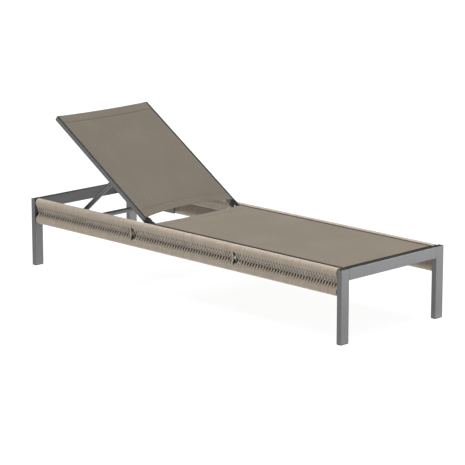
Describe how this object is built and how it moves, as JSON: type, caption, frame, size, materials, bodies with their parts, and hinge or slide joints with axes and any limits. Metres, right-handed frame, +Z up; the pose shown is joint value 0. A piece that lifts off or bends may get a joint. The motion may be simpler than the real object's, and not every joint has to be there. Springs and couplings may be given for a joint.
{
  "type": "adjustable chaise longue",
  "caption": "Low outdoor chaise longue: grey rectangular frame, sling seat and hinged sling back on a U-shaped prop and toothed racks, sides wound with rope.",
  "frame": {"origin": "on the ground under the middle of the base", "axes": "+X to the foot end, +Y to the left of a person lying on it, +Z up"},
  "size_m": [2.06, 0.672, 0.7538],
  "materials": {
    "frame_metal": "satin grey powder coat on aluminium",
    "steel": "brushed stainless steel",
    "nylon": "matte black nylon",
    "rope": "beige braided outdoor rope",
    "sling": "taupe woven sling fabric"
  },
  "bodies": {
    "frame": {"foot_glide_left": "nylon", "foot_glide_right": "nylon", "foot_leg_left": "frame_metal", "foot_leg_right": "frame_metal", "foot_post_left": "frame_metal", "foot_post_right": "frame_metal", "foot_rope_left": "rope", "foot_rope_right": "rope", "foot_top_rail": "frame_metal", "front_cross_bar": "frame_metal", "head_glide_left": "nylon", "head_glide_right": "nylon", "head_leg_left": "frame_metal", "head_leg_right": "frame_metal", "head_post_left": "frame_metal", "head_post_right": "frame_metal", "head_rope_left": "rope", "head_rope_right": "rope", "head_top_rail": "frame_metal", "hinge_fork_left": "nylon", "hinge_fork_right": "nylon", "hinge_pin_left": "steel", "hinge_pin_right": "steel", "lower_side_tube_left": "frame_metal", "lower_side_tube_right": "frame_metal", "middle_cross_bar": "frame_metal", "middle_rope_left": "rope", "middle_rope_right": "rope", "prop_rack_left": "frame_metal", "prop_rack_right": "frame_metal", "rear_cross_bar": "frame_metal", "seat_rail_left": "frame_metal", "seat_rail_right": "frame_metal", "seat_sling": "sling", "seat_spline_left": "nylon", "seat_spline_right": "nylon", "upper_side_tube_left": "frame_metal", "upper_side_tube_right": "frame_metal"},
    "backrest": {"back_rail_cap_left": "nylon", "back_rail_cap_right": "nylon", "back_rail_left": "frame_metal", "back_rail_right": "frame_metal", "back_sling": "sling", "back_spline_left": "nylon", "back_spline_right": "nylon", "back_spreader_lower": "frame_metal", "back_spreader_upper": "frame_metal", "hinge_tongue_left": "nylon", "hinge_tongue_right": "nylon", "prop_pin_left": "steel", "prop_pin_right": "steel"},
    "prop": {"prop_arm_left": "frame_metal", "prop_arm_right": "frame_metal", "prop_foot_bar": "frame_metal", "prop_peg_left": "nylon", "prop_peg_right": "nylon"}
  },
  "joints": [
    {"name": "backrest_hinge", "type": "hinge", "parent": "frame", "child": "backrest", "pos_m": [-0.226, 0, 0.327], "axis": [0, 1, 0], "range_deg": [-33, 15]},
    {"name": "prop_pivot", "type": "hinge", "parent": "backrest", "child": "prop", "pos_m": [-0.50424, 0, 0.49398], "axis": [0, 1, 0], "range_deg": [-29, 63]}
  ],
  "couplings": [
    {"joint": "prop_pivot", "follows": "backrest_hinge", "ratio": -1.895}
  ]
}
